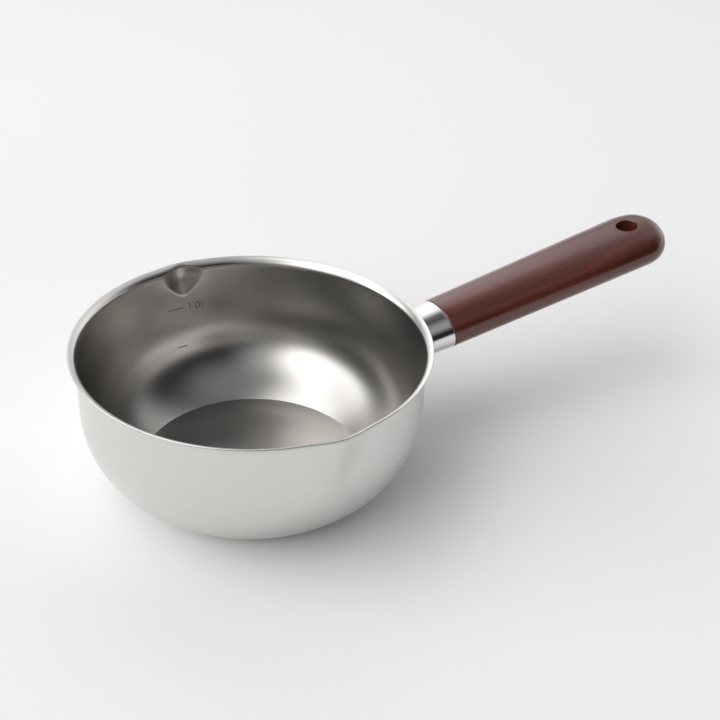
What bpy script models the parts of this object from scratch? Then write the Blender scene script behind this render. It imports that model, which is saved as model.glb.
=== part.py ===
"""Two-spout stainless saucepan with a flat wooden handle.

The bowl is a turned sheet, pressed out at its two pouring spouts. The handle's pieces are
built along the handle's own axis and placed by one empty. Lengths are in metres, +Z is up,
the bowl's axis is Z and the handle points to +X.
"""

import math

import bmesh
import bpy
from mathutils import Vector

# Clearances and cuts
SEAT_GAP = 0.0003
CUT_OVERRUN = 0.004
MERGE_DISTANCE = 0.00001

# Bowl
SHEET = 0.0008
PAN_HEIGHT = 0.0787
RIM_RADIUS = 0.0930
LIP_WIDTH = 0.0037
LIP_BEND = 0.0016
LIP_ANGLE = math.radians(24)
RIM_EDGE_ROUND = 0.00025
WALL_DRAFT = 0.0003
WALL_BELOW_SPOUT = 0.0066
ROUND_OUT_POWER = 1.96
ROUND_UP_POWER = 0.74
BASE_RADIUS = 0.0612
BASE_BEND = 0.0012

# Pouring spouts
SPOUT_REACH = 0.0016
SPOUT_DIP = 0.0004
SPOUT_PULL_WIDTH = 0.022
SPOUT_HEIGHT = 0.0205
SPOUT_FOOT_HEIGHT = 0.0045
SPOUT_TOP_DEPTH = 0.0033
SPOUT_FOOT_DEPTH = 0.0026
SPOUT_HALF_WIDTH = 0.01225
SPOUT_VALLEY_ROUND = 0.0010
SPOUT_BLEND = 0.0015

# Handle
HANDLE_TILT = math.radians(8.9)
ROOT_DROP = 0.0249
GRIP_LENGTH = 0.1601
GRIP_START_WIDTH = 0.0357
GRIP_END_WIDTH = 0.0445
GRIP_START_THICKNESS = 0.0247
GRIP_END_THICKNESS = 0.0249
TIP_ROUND = 0.013
SHOULDER_ROUND = 0.0006
TANG_LENGTH = 0.0195
HOLE_RADIUS = 0.0062
HOLE_FROM_TIP = 0.0257
HOLE_EDGE_ROUND = 0.0012

# Ferrule
FERRULE_LENGTH = 0.0267
FERRULE_ROOT_WIDTH = 0.0320
FERRULE_SHEET = 0.0010
FERRULE_EDGE_ROUND = 0.0003

# Bracket
FOOT_THICKNESS = 0.0015
TONGUE_WIDTH = 0.0140
TONGUE_THICKNESS = 0.0020
TONGUE_PAST_SCREW = 0.0044
TONGUE_EDGE_ROUND = 0.0004

# Fixing screw
SCREW_FROM_SHOULDER = 0.0110
SCREW_RADIUS = 0.0020
SCREW_PAST_TONGUE = 0.0020
SCREW_HEAD_RADIUS = 0.0037
SCREW_HEAD_HEIGHT = 0.0023
SCREW_HEAD_ROUND = 0.0010
RECESS_LENGTH = 0.0040
RECESS_WIDTH = 0.0009
RECESS_DEPTH = 0.0012

# Mesh counts
BOWL_STEPS = 96
BOWL_CROWDING_SHARE = 0.6
ROUND_POINTS = 9
CHANNEL_RINGS = 3
FOOT_RINGS = 2
BEND_STEPS = 3
GRIP_STEPS = 48
GRIP_RINGS = 5
TIP_POINTS = 8
SCREW_STEPS = 24
CUTTER_STEPS = 144
SHARP_ANGLE = math.radians(28)
SQUARE_EDGE_ANGLE = math.radians(60)

# Sizes worked out from the ones above
MOUTH_RADIUS = RIM_RADIUS - LIP_WIDTH
WALL_RADIUS = MOUTH_RADIUS - WALL_DRAFT
LIP_EDGE_HEIGHT = PAN_HEIGHT - SHEET * math.cos(LIP_ANGLE)
LIP_ROOT_HEIGHT = LIP_EDGE_HEIGHT - LIP_WIDTH * math.tan(LIP_ANGLE)
FOOT_LOW = PAN_HEIGHT - SPOUT_HEIGHT
FOOT_HIGH = FOOT_LOW + SPOUT_FOOT_HEIGHT
ROUND_HEIGHT = FOOT_LOW - WALL_BELOW_SPOUT
CHANNEL_FALL = SPOUT_TOP_DEPTH + MOUTH_RADIUS - math.sqrt(MOUTH_RADIUS ** 2 - SPOUT_HALF_WIDTH ** 2)
CHANNEL_SPREAD = math.hypot(SPOUT_HALF_WIDTH, SPOUT_VALLEY_ROUND) - SPOUT_VALLEY_ROUND
CHANNEL_SLOPE_SHARE = CHANNEL_FALL / CHANNEL_SPREAD
SHOULDER_X = MOUTH_RADIUS + FERRULE_LENGTH * math.cos(HANDLE_TILT)
SHOULDER_Z = PAN_HEIGHT - ROOT_DROP + FERRULE_LENGTH * math.sin(HANDLE_TILT)
FLATNESS_SHARE = GRIP_START_THICKNESS / GRIP_START_WIDTH
HALF_START = GRIP_START_WIDTH / 2
HALF_END = GRIP_END_WIDTH / 2
HALF_ROOT = FERRULE_ROOT_WIDTH / 2
TONGUE_ROOT = SEAT_GAP + FOOT_THICKNESS / 2 - FERRULE_LENGTH
TONGUE_LENGTH = TONGUE_PAST_SCREW - SCREW_FROM_SHOULDER - TONGUE_ROOT

STEEL_COLOUR = (0.72, 0.71, 0.69, 1.0)
POLISHED_COLOUR = (0.80, 0.80, 0.79, 1.0)
WOOD_COLOUR = (0.115, 0.030, 0.020, 1.0)


def clear_scene():
    """Remove every object that the file holds."""
    for item in list(bpy.data.objects):
        bpy.data.objects.remove(item, do_unlink=True)


def new_collection(name):
    """A collection linked to the scene."""
    collection = bpy.data.collections.new(name)
    bpy.context.scene.collection.children.link(collection)
    return collection


def new_material(name, colour, roughness, metallic):
    """A Principled material."""
    material = bpy.data.materials.new(name)
    material.use_nodes = True
    shader = material.node_tree.nodes["Principled BSDF"]
    shader.inputs["Base Color"].default_value = colour
    shader.inputs["Roughness"].default_value = roughness
    shader.inputs["Metallic"].default_value = metallic
    return material


def add_object(name, mesh, collection):
    """An object of its own for a mesh."""
    item = bpy.data.objects.new(name, mesh)
    collection.objects.link(item)
    return item


def rounded(before, corner, after, radius, steps):
    """Points of the arc that rounds the corner between two straight runs."""
    corner = Vector(corner)
    back = (Vector(before) - corner).normalized()
    ahead = (Vector(after) - corner).normalized()
    half_angle = back.angle(ahead) / 2
    centre = corner + (back + ahead).normalized() * (radius / math.sin(half_angle))
    reach = radius / math.tan(half_angle)
    start = corner + back * reach - centre
    end = corner + ahead * reach - centre
    turn = start.angle(end)
    points = []
    for step in range(steps + 1):
        swept = turn * step / steps
        weight_start = math.sin(turn - swept) / math.sin(turn)
        weight_end = math.sin(swept) / math.sin(turn)
        points.append(centre + start * weight_start + end * weight_end)
    return points


def profile_mesh(name, points, closed):
    """A chain of edges in the XZ plane."""
    edges = [(index, index + 1) for index in range(len(points) - 1)]
    if closed:
        edges.append((len(points) - 1, 0))
    mesh = bpy.data.meshes.new(name)
    mesh.from_pydata([(radius, 0.0, height) for radius, height in points], edges, [])
    return mesh


def evaluated_mesh(item):
    """The mesh that an object's modifiers make."""
    graph = bpy.context.evaluated_depsgraph_get()
    return bpy.data.meshes.new_from_object(item.evaluated_get(graph))


def turned_mesh(name, points, steps, closed=False):
    """The mesh of a profile turned about Z. Its outer side is listed from top to bottom."""
    outline = add_object(name, profile_mesh(name, points, closed), bpy.context.scene.collection)
    screw = outline.modifiers.new("turn", "SCREW")
    screw.axis = "Z"
    screw.steps = steps
    screw.render_steps = steps
    screw.use_merge_vertices = True
    screw.merge_threshold = MERGE_DISTANCE
    mesh = evaluated_mesh(outline)
    bpy.data.objects.remove(outline, do_unlink=True)
    return mesh


def finish_piece(item, material):
    """Give a piece its material and smooth shading."""
    item.data.materials.clear()
    item.data.materials.append(material)
    item.data.shade_smooth()
    item.data.set_sharp_from_angle(angle=SHARP_ANGLE)


def as_cutter(item):
    """Show a cutter as wire and keep it out of the renders."""
    item.hide_render = True
    item.display_type = "WIRE"


def combine(item, other, operation):
    """Add a Boolean modifier."""
    boolean = item.modifiers.new(f"{operation.lower()} {other.name}", "BOOLEAN")
    boolean.operation = operation
    boolean.solver = "EXACT"
    boolean.object = other


def round_edges(item, width, segments):
    """Round a piece's square edges."""
    bevel = item.modifiers.new("round edges", "BEVEL")
    bevel.width = width
    bevel.segments = segments
    bevel.limit_method = "ANGLE"
    bevel.angle_limit = SQUARE_EDGE_ANGLE


def round_points(gap):
    """The rounded lower wall, from where it starts down to the base's corner."""
    points = []
    for index in range(ROUND_POINTS):
        turn = math.pi / 2 * (1 - index / ROUND_POINTS)
        out_share = math.sin(turn) ** ROUND_OUT_POWER
        up_share = 1 - abs(math.cos(turn)) ** ROUND_UP_POWER
        radius = BASE_RADIUS + (WALL_RADIUS - BASE_RADIUS) * out_share
        points.append((radius + gap, ROUND_HEIGHT * up_share))
    return points


def bowl_profile():
    """The bowl's outer side, from the lip's edge to the middle of the base."""
    edge = (RIM_RADIUS, LIP_EDGE_HEIGHT)
    root = (MOUTH_RADIUS, LIP_ROOT_HEIGHT)
    wall = (MOUTH_RADIUS, FOOT_HIGH)
    points = [edge]
    points += rounded(edge, root, wall, LIP_BEND, BEND_STEPS)
    bend_end = points[-1][1]
    for index in range(1, CHANNEL_RINGS):
        points.append((MOUTH_RADIUS, bend_end + (FOOT_HIGH - bend_end) * index / CHANNEL_RINGS))
    for index in range(FOOT_RINGS + 1):
        points.append((MOUTH_RADIUS, FOOT_HIGH + (FOOT_LOW - FOOT_HIGH) * index / FOOT_RINGS))
    lower_wall = round_points(0.0)
    points += lower_wall
    base_corner = (BASE_RADIUS, 0.0)
    points += rounded(lower_wall[-1], base_corner, (0.0, 0.0), BASE_BEND, BEND_STEPS)
    points.append((0.0, 0.0))
    return points


def crowd_steps(point):
    """Turn a point about Z, so that the steps lie closer together at the spouts."""
    angle = math.atan2(point.y, point.x)
    angle += BOWL_CROWDING_SHARE / 2 * math.sin(2 * angle)
    radius = math.hypot(point.x, point.y)
    return Vector((radius * math.cos(angle), radius * math.sin(angle), point.z))


def smooth_larger(first, second, blend):
    """The larger of two lengths, rounded over where they differ by less than the blend."""
    share = max(blend - abs(first - second), 0.0) / blend
    return max(first, second) + share * share * blend / 4


def channel_depth(height):
    """How far a spout's valley lies outside the wall at a height."""
    if height < FOOT_HIGH:
        share = (height - FOOT_LOW) / SPOUT_FOOT_HEIGHT
        share = share * share * (3 - 2 * share)
        return share * (SPOUT_FOOT_DEPTH + SPOUT_BLEND) - SPOUT_BLEND
    share = (height - FOOT_HIGH) / (LIP_ROOT_HEIGHT - FOOT_HIGH)
    return SPOUT_FOOT_DEPTH + (SPOUT_TOP_DEPTH - SPOUT_FOOT_DEPTH) * share


def press_spout(point):
    """Move a point of the turned bowl out to the spout on its side of the handle's plane."""
    if point.z <= FOOT_LOW or abs(point.x) >= SPOUT_PULL_WIDTH:
        return point
    rise_share = (point.z - FOOT_LOW) / (LIP_EDGE_HEIGHT - FOOT_LOW)
    away_share = abs(point.x) / SPOUT_PULL_WIDTH
    pull_share = math.cos(away_share * math.pi / 2) ** 2 * rise_share ** 2
    outward = abs(point.y) + SPOUT_REACH * pull_share
    spread = math.hypot(point.x, SPOUT_VALLEY_ROUND) - SPOUT_VALLEY_ROUND
    channel = MOUTH_RADIUS + channel_depth(point.z) - CHANNEL_SLOPE_SHARE * spread
    outward = smooth_larger(outward, channel, SPOUT_BLEND)
    return Vector((point.x, math.copysign(outward, point.y), point.z - SPOUT_DIP * pull_share))


def build_bowl(collection, material):
    """The pressed bowl: a turned sheet with two spouts."""
    mesh = turned_mesh("pan_body", bowl_profile(), BOWL_STEPS)
    for vertex in mesh.vertices:
        vertex.co = press_spout(crowd_steps(vertex.co))
    bowl = add_object("pan_body", mesh, collection)
    shell = bowl.modifiers.new("sheet", "SOLIDIFY")
    shell.thickness = SHEET
    shell.offset = -1
    shell.use_even_offset = True
    round_edges(bowl, RIM_EDGE_ROUND, 2)
    finish_piece(bowl, material)
    return bowl


def bowl_cutter(name, gap, collection):
    """A solid that fills the bowl's outer wall and stands off it by a gap."""
    points = [(0.0, PAN_HEIGHT), (MOUTH_RADIUS + gap, PAN_HEIGHT), (MOUTH_RADIUS + gap, FOOT_LOW)]
    points += round_points(gap)
    points += [(BASE_RADIUS + gap, 0.0), (0.0, 0.0)]
    cutter = add_object(name, turned_mesh(name, points, CUTTER_STEPS), collection)
    as_cutter(cutter)
    return cutter


def place_on_handle(item, frame):
    """Hang a piece on the handle's frame: Z along the grip, X to its underside."""
    item.parent = frame


def ferrule_half(place):
    """The ferrule's outer half width at a place along the handle, which is negative there."""
    return HALF_START + (HALF_START - HALF_ROOT) * place / FERRULE_LENGTH


def bore_half(place, gap):
    """The half width of what fits the ferrule's bore with a gap."""
    return ferrule_half(place) - (FERRULE_SHEET + gap) / FLATNESS_SHARE


def grip_half_width(place):
    """The grip's half width before its round end."""
    return HALF_START + (HALF_END - HALF_START) * place / (GRIP_LENGTH - HALF_END)


def flatness_share(place):
    """Thickness over width at a place along the handle. It is constant inside the ferrule."""
    into_width = max(place - (GRIP_LENGTH - HALF_END), 0.0) / HALF_END
    if place <= 0.0 or into_width >= 1.0:
        return FLATNESS_SHARE
    share = place / GRIP_LENGTH
    thickness = GRIP_START_THICKNESS + (GRIP_END_THICKNESS - GRIP_START_THICKNESS) * share
    into_thickness = max(place - (GRIP_LENGTH - TIP_ROUND), 0.0) / TIP_ROUND
    half_width = min(grip_half_width(place), HALF_END) * math.sqrt(1 - into_width ** 2)
    return thickness / 2 * math.sqrt(1 - into_thickness ** 2) / half_width


def flatten(mesh):
    """Squeeze a turned mesh in X to the handle's oval section."""
    for vertex in mesh.vertices:
        vertex.co.x *= flatness_share(vertex.co.z)


def build_ferrule(collection, frame, material, wall, screw_hole):
    """The polished oval sleeve between the bowl and the grip."""
    top = -SEAT_GAP
    low = -FERRULE_LENGTH - HALF_ROOT
    outer_top = (ferrule_half(top), top)
    inner_top = (bore_half(top, 0.0), top)
    outer_low = (ferrule_half(low), low)
    inner_low = (bore_half(low, 0.0), low)
    points = rounded(inner_top, outer_top, outer_low, FERRULE_EDGE_ROUND, BEND_STEPS)
    points += [outer_low, inner_low]
    points += rounded(inner_low, inner_top, outer_top, FERRULE_EDGE_ROUND, BEND_STEPS)
    mesh = turned_mesh("handle_ferrule", points, GRIP_STEPS, closed=True)
    flatten(mesh)
    ferrule = add_object("handle_ferrule", mesh, collection)
    place_on_handle(ferrule, frame)
    combine(ferrule, wall, "DIFFERENCE")
    combine(ferrule, screw_hole, "DIFFERENCE")
    finish_piece(ferrule, material)
    return ferrule


def grip_profile():
    """Half the grip's outline from above, from its tip to the end of its tang."""
    points = []
    for index in range(TIP_POINTS):
        turn = math.pi / 2 * index / TIP_POINTS
        place = GRIP_LENGTH - HALF_END + HALF_END * math.cos(turn)
        points.append((HALF_END * math.sin(turn), place))
    for index in range(GRIP_RINGS):
        place = (GRIP_LENGTH - HALF_END) * (1 - index / GRIP_RINGS)
        points.append((grip_half_width(place), place))
    shoulder = (HALF_START, 0.0)
    tang_top = (bore_half(0.0, SEAT_GAP), 0.0)
    points += rounded(points[-1], shoulder, tang_top, SHOULDER_ROUND, BEND_STEPS)
    points.append(tang_top)
    points.append((bore_half(-TANG_LENGTH, SEAT_GAP), -TANG_LENGTH))
    points.append((0.0, -TANG_LENGTH))
    return points


def hole_cutter(collection, frame):
    """The hanging hole, flared at both ends so that its edges are round."""
    middle = GRIP_END_THICKNESS / 2
    flared = HOLE_RADIUS + HOLE_EDGE_ROUND
    outside = middle + CUT_OVERRUN
    corner = (HOLE_RADIUS, middle)
    top_edge = rounded((flared, middle), corner, (HOLE_RADIUS, 0.0), HOLE_EDGE_ROUND, BEND_STEPS)
    low_edge = [(radius, -height) for radius, height in reversed(top_edge)]
    points = [(0.0, outside), (flared, outside)] + top_edge + low_edge
    points += [(flared, -outside), (0.0, -outside)]
    cutter = add_object("hanging_hole", turned_mesh("hanging_hole", points, GRIP_STEPS), collection)
    cutter.rotation_euler = (0.0, math.pi / 2, 0.0)
    cutter.location = (0.0, 0.0, GRIP_LENGTH - HOLE_FROM_TIP)
    place_on_handle(cutter, frame)
    as_cutter(cutter)
    return cutter


def box(name, size, centre, collection, frame):
    """A box on the handle's frame."""
    mesh = bpy.data.meshes.new(name)
    shape = bmesh.new()
    bmesh.ops.create_cube(shape, size=1)
    for vertex in shape.verts:
        vertex.co = Vector(centre) + Vector(size) * vertex.co
    shape.to_mesh(mesh)
    shape.free()
    item = add_object(name, mesh, collection)
    place_on_handle(item, frame)
    return item


def tongue_box(name, gap, collection, frame):
    """The bracket's tongue, or with a gap the slot that it fits."""
    size = (TONGUE_THICKNESS + 2 * gap, TONGUE_WIDTH + 2 * gap, TONGUE_LENGTH + 2 * gap)
    centre = (0.0, 0.0, TONGUE_ROOT + TONGUE_LENGTH / 2)
    return box(name, size, centre, collection, frame)


def screw_bore(name, gap, high, low, collection, frame):
    """A round bore on the screw's axis between two places along X."""
    radius = SCREW_RADIUS + gap
    points = [(0.0, high), (radius, high), (radius, low), (0.0, low)]
    cutter = add_object(name, turned_mesh(name, points, SCREW_STEPS), collection)
    cutter.rotation_euler = (0.0, math.pi / 2, 0.0)
    cutter.location = (0.0, 0.0, -SCREW_FROM_SHOULDER)
    place_on_handle(cutter, frame)
    as_cutter(cutter)
    return cutter


def build_grip(collection, frame, material, hole, slot, screw_hole):
    """The wooden grip with its hanging hole and its tang."""
    mesh = turned_mesh("wooden_handle", grip_profile(), GRIP_STEPS)
    flatten(mesh)
    grip = add_object("wooden_handle", mesh, collection)
    place_on_handle(grip, frame)
    combine(grip, hole, "DIFFERENCE")
    combine(grip, slot, "DIFFERENCE")
    combine(grip, screw_hole, "DIFFERENCE")
    finish_piece(grip, material)
    return grip


def build_bracket(collection, cutters, frame, material, wall, screw_hole):
    """The welded foot that hugs the wall inside the ferrule, with its tongue."""
    low = -FERRULE_LENGTH - HALF_ROOT
    high = -TANG_LENGTH - SEAT_GAP
    points = [(0.0, high), (bore_half(high, SEAT_GAP), high), (bore_half(low, SEAT_GAP), low), (0.0, low)]
    mesh = turned_mesh("handle_bracket", points, GRIP_STEPS)
    flatten(mesh)
    bracket = add_object("handle_bracket", mesh, collection)
    place_on_handle(bracket, frame)
    combine(bracket, bowl_cutter("foot_outer_face", SEAT_GAP + FOOT_THICKNESS, cutters), "INTERSECT")
    tongue = tongue_box("tongue", 0.0, cutters, frame)
    round_edges(tongue, TONGUE_EDGE_ROUND, 1)
    as_cutter(tongue)
    combine(bracket, tongue, "UNION")
    combine(bracket, wall, "DIFFERENCE")
    combine(bracket, screw_hole, "DIFFERENCE")
    finish_piece(bracket, material)
    return bracket


def build_screw(collection, cutters, frame, material):
    """The fixing screw under the ferrule, with a cross recess."""
    seat = ferrule_half(-SCREW_FROM_SHOULDER) * FLATNESS_SHARE + SEAT_GAP
    head_top = seat + SCREW_HEAD_HEIGHT
    tip = -TONGUE_THICKNESS / 2 - SCREW_PAST_TONGUE
    head_edge = (SCREW_HEAD_RADIUS, head_top)
    points = [(0.0, head_top)]
    points += rounded((0.0, head_top), head_edge, (SCREW_HEAD_RADIUS, seat), SCREW_HEAD_ROUND, BEND_STEPS)
    points += [(SCREW_HEAD_RADIUS, seat), (SCREW_RADIUS, seat), (SCREW_RADIUS, tip), (0.0, tip)]
    screw = add_object("handle_screw", turned_mesh("handle_screw", points, SCREW_STEPS), collection)
    screw.rotation_euler = (0.0, math.pi / 2, 0.0)
    screw.location = (0.0, 0.0, -SCREW_FROM_SHOULDER)
    place_on_handle(screw, frame)
    depth = RECESS_DEPTH + CUT_OVERRUN
    centre = (head_top - RECESS_DEPTH + depth / 2, 0.0, -SCREW_FROM_SHOULDER)
    for name, size in (
        ("recess_along", (depth, RECESS_WIDTH, RECESS_LENGTH)),
        ("recess_across", (depth, RECESS_LENGTH, RECESS_WIDTH)),
    ):
        recess = box(name, size, centre, cutters, frame)
        as_cutter(recess)
        combine(screw, recess, "DIFFERENCE")
    finish_piece(screw, material)
    return screw


def build_handle(collection, cutters, steel, polished, wood):
    """The handle's pieces, all placed by one empty at the grip's shoulder."""
    frame = bpy.data.objects.new("handle_frame", None)
    collection.objects.link(frame)
    frame.location = (SHOULDER_X, 0.0, SHOULDER_Z)
    frame.rotation_euler = (0.0, math.pi / 2 - HANDLE_TILT, 0.0)

    wall = bowl_cutter("wall_clearance", SEAT_GAP, cutters)
    slot = tongue_box("tongue_slot", SEAT_GAP, cutters, frame)
    as_cutter(slot)
    beyond = GRIP_START_THICKNESS / 2 + CUT_OVERRUN
    tang_relief = -TONGUE_THICKNESS / 2 - SCREW_PAST_TONGUE - SEAT_GAP
    through_side = screw_bore("screw_clearance", SEAT_GAP, beyond, tang_relief, cutters, frame)
    ferrule_hole = screw_bore("ferrule_screw_hole", SEAT_GAP, beyond, 0.0, cutters, frame)
    hole = hole_cutter(cutters, frame)

    build_ferrule(collection, frame, polished, wall, ferrule_hole)
    build_bracket(collection, cutters, frame, steel, wall, through_side)
    build_grip(collection, frame, wood, hole, slot, through_side)
    build_screw(collection, cutters, frame, steel)


def main():
    """Build the saucepan."""
    clear_scene()
    parts = new_collection("saucepan")
    cutters = new_collection("cutters")
    steel = new_material("brushed_steel", STEEL_COLOUR, 0.36, 1.0)
    polished = new_material("polished_steel", POLISHED_COLOUR, 0.10, 1.0)
    wood = new_material("lacquered_wood", WOOD_COLOUR, 0.34, 0.0)
    build_bowl(parts, steel)
    build_handle(parts, cutters, steel, polished, wood)


main()
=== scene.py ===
import math

import bpy
import numpy as np
from bpy.props import FloatProperty, FloatVectorProperty, PointerProperty
from bpy.types import Operator, Panel, PropertyGroup
from mathutils import Matrix, Vector


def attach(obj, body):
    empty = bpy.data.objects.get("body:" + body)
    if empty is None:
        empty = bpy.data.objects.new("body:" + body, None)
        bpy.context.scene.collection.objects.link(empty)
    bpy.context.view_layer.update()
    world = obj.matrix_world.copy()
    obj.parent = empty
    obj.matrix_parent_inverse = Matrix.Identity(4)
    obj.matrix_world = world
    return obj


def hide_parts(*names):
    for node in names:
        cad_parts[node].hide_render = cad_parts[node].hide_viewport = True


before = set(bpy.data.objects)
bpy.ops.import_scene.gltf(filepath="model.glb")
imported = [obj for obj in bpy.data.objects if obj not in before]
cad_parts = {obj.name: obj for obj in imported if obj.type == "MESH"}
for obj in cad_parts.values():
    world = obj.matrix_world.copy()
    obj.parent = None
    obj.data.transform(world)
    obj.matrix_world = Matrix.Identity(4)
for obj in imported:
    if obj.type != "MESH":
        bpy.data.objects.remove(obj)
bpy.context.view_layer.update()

bl_info = {
    "name": "Two-spout saucepan",
    "version": (1, 0, 0),
    "blender": (4, 5, 0),
    "location": "3D View > Sidebar > Saucepan",
    "description": "Dresses the packed saucepan: satin bowl, polished ferrule and lacquered grip",
    "category": "Object",
}

# Small sizes of the bowl, in metres. The large ones are in its property group.
LIP_BEND = 0.0042
WALL_BELOW_SPOUT = 0.0066
ROUND_OUT_POWER = 1.96
ROUND_UP_POWER = 0.74
BASE_BEND = 0.0012
RIM_ROUND = 0.00035
SPOUT_DIP = 0.0004
SPOUT_PULL_WIDTH = 0.022
SPOUT_HEIGHT = 0.0205
SPOUT_TOP_DEPTH = 0.0033
SPOUT_MIDDLE_BLEND_WIDTH = 0.0045

# The two sides of a spout's channel: how far its foot lies below the inner foot, how steeply it
# leaves the wall, its valley's rounding and its blend into the wall at its middle and its sides
SCOOP = {"foot_drop": 0.0, "power": 2.4, "valley_round": 0.0075, "blends": (0.0022, 0.0005)}
RIDGE = {"foot_drop": 0.018, "power": 1.5, "valley_round": 0.005, "blends": (0.003, 0.003)}

# Small sizes of the handle
SEAT_GAP = 0.0003
ROOT_DROP = 0.0249
FERRULE_LENGTH = 0.0267
FERRULE_ROOT_WIDTH = 0.0320
FERRULE_SHEET = 0.0010
FERRULE_EDGE_ROUND = 0.0003
TANG_LENGTH = 0.0195
TIP_ROUND = 0.013
SHOULDER_ROUND = 0.0006
HOLE_FROM_TIP = 0.0231
HOLE_EDGE_ROUND = 0.0012
HOLE_CUT_EXCESS = 0.004

# The capacity marks: their strokes' width and how far they stand proud, the heights of the figure
# and of the dashes
MARK_WIDTH = 0.00044
MARK_PROUD = 0.00003
FIGURE_LOW = 0.0499
FIGURE_HIGH = 0.0543
FULL_DASH_HEIGHT = 0.0519
HALF_DASH_HEIGHT = 0.0282

# The soft lamps: bearing and rise in degrees as seen from the pan, and strength
LAMP_AIM = Vector((0.03, 0.0, 0.03))
LAMPS = {
    "left_low": (148, 17, 3.3),
    "right_back_low": (28, 12, 0.8),
    "right_low": (-2, 12, 1.0),
    "front_left": (193, 33, 3.0),
    "front": (223, 38, 0.7),
    "back_low": (83, 10, 0.9),
    "back": (73, 38, 1.5),
    "left_high": (148, 64, 2.6),
    "right_back": (18, 46, 0.8),
    "right_front_high": (-77, 64, 0.3),
}

FLOOR_REACH = 18.0

# The backdrop: the floor's radii where it starts and is full, and the sines of the rise at which
# its mirror image starts to fade and is gone
BACKDROP_START = 0.6
BACKDROP_END = 1.8
BACKDROP_LOW = 0.0
BACKDROP_HIGH = 0.2

# Mesh counts
BOWL_STEPS = 368
BOWL_CROWDING_SHARE = 0.75
GRIP_STEPS = 160


class BowlSettings(PropertyGroup):
    """Sizes and colours of the bowl."""

    rim_radius: FloatProperty(
        name="Rim radius",
        description="From the bowl's axis to the lip's edge",
        default=0.0930,
        precision=4,
        unit="LENGTH",
    )
    height: FloatProperty(
        name="Height",
        description="From the base to the top of the lip",
        default=0.0787,
        precision=4,
        unit="LENGTH",
    )
    sheet: FloatProperty(
        name="Sheet",
        description="Thickness of the steel sheet",
        default=0.0008,
        precision=4,
        unit="LENGTH",
    )
    lip_width: FloatProperty(
        name="Lip width",
        description="How far the lip stands out from the wall",
        default=0.0037,
        precision=4,
        unit="LENGTH",
    )
    lip_angle: FloatProperty(
        name="Lip angle",
        description="Rise of the lip above the level",
        default=math.radians(24),
        unit="ROTATION",
    )
    base_radius: FloatProperty(
        name="Base radius",
        description="Radius of the flat base",
        default=0.0612,
        precision=4,
        unit="LENGTH",
    )
    spout_reach: FloatProperty(
        name="Spout reach",
        description="How far the lip is pulled out over a spout",
        default=0.0016,
        precision=4,
        unit="LENGTH",
    )
    spout_half_width: FloatProperty(
        name="Spout half width",
        description="Half the width of a spout's channel where it meets the wall",
        default=0.01225,
        precision=4,
        unit="LENGTH",
    )
    steel: FloatVectorProperty(
        name="Outer steel",
        description="Colour of the satin outer side",
        default=(0.72, 0.71, 0.69),
        size=3,
        subtype="COLOR",
        min=0,
        max=1,
    )
    # Painted shade: this inner colour is darker than the outer steel, to stand in for the shade inside the
    # bowl.
    shaded_inner_steel: FloatVectorProperty(
        name="Inner steel",
        description="Colour of the smoother inner side",
        default=(0.46, 0.447, 0.43),
        size=3,
        subtype="COLOR",
        min=0,
        max=1,
    )
    mark: FloatVectorProperty(
        name="Capacity marks",
        description="Colour of the etched capacity marks",
        default=(0.17, 0.145, 0.125),
        size=3,
        subtype="COLOR",
        min=0,
        max=1,
    )


class HandleSettings(PropertyGroup):
    """Sizes and colours of the handle."""

    tilt: FloatProperty(
        name="Tilt",
        description="Rise of the handle above the level",
        default=math.radians(8.9),
        unit="ROTATION",
    )
    length: FloatProperty(
        name="Grip length",
        description="From the ferrule to the grip's tip",
        default=0.1575,
        precision=4,
        unit="LENGTH",
    )
    start_width: FloatProperty(
        name="Width at the ferrule",
        description="The grip's width where it leaves the ferrule",
        default=0.0357,
        precision=4,
        unit="LENGTH",
    )
    end_width: FloatProperty(
        name="Width at the end",
        description="The grip's width where its round end starts",
        default=0.0441,
        precision=4,
        unit="LENGTH",
    )
    start_thickness: FloatProperty(
        name="Thickness at the ferrule",
        description="The grip's thickness where it leaves the ferrule",
        default=0.0247,
        precision=4,
        unit="LENGTH",
    )
    end_thickness: FloatProperty(
        name="Thickness at the end",
        description="The grip's thickness near its tip",
        default=0.0249,
        precision=4,
        unit="LENGTH",
    )
    hole_radius: FloatProperty(
        name="Hole radius",
        description="Radius of the hanging hole",
        default=0.0062,
        precision=4,
        unit="LENGTH",
    )
    polished: FloatVectorProperty(
        name="Polished steel",
        description="Colour of the ferrule",
        default=(0.80, 0.80, 0.79),
        size=3,
        subtype="COLOR",
        min=0,
        max=1,
    )
    wood: FloatVectorProperty(
        name="Wood",
        description="Colour of the wood between its darker grain",
        default=(0.100, 0.0235, 0.0155),
        size=3,
        subtype="COLOR",
        min=0,
        max=1,
    )


class StageSettings(PropertyGroup):
    """The floor and the light."""

    floor: FloatVectorProperty(
        name="Floor",
        description="Colour of the floor",
        default=(0.86, 0.86, 0.86),
        size=3,
        subtype="COLOR",
        min=0,
        max=1,
    )
    backdrop: FloatVectorProperty(
        name="Backdrop",
        description="Colour of the backdrop beyond the floor",
        default=(0.80, 0.80, 0.80),
        size=3,
        subtype="COLOR",
        min=0,
        max=1,
    )
    level: FloatProperty(
        name="Lamp level",
        description="Share by which all soft lamps are turned up",
        default=1.03,
    )
    room: FloatProperty(
        name="Room light",
        description="Strength of the even light from all round",
        default=0.02,
    )
    lamp_size: FloatProperty(
        name="Lamp size",
        description="Side of each soft lamp",
        default=8.0,
        unit="LENGTH",
    )
    lamp_distance: FloatProperty(
        name="Lamp distance",
        description="From each soft lamp to the pan",
        default=6.0,
        unit="LENGTH",
    )


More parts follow.
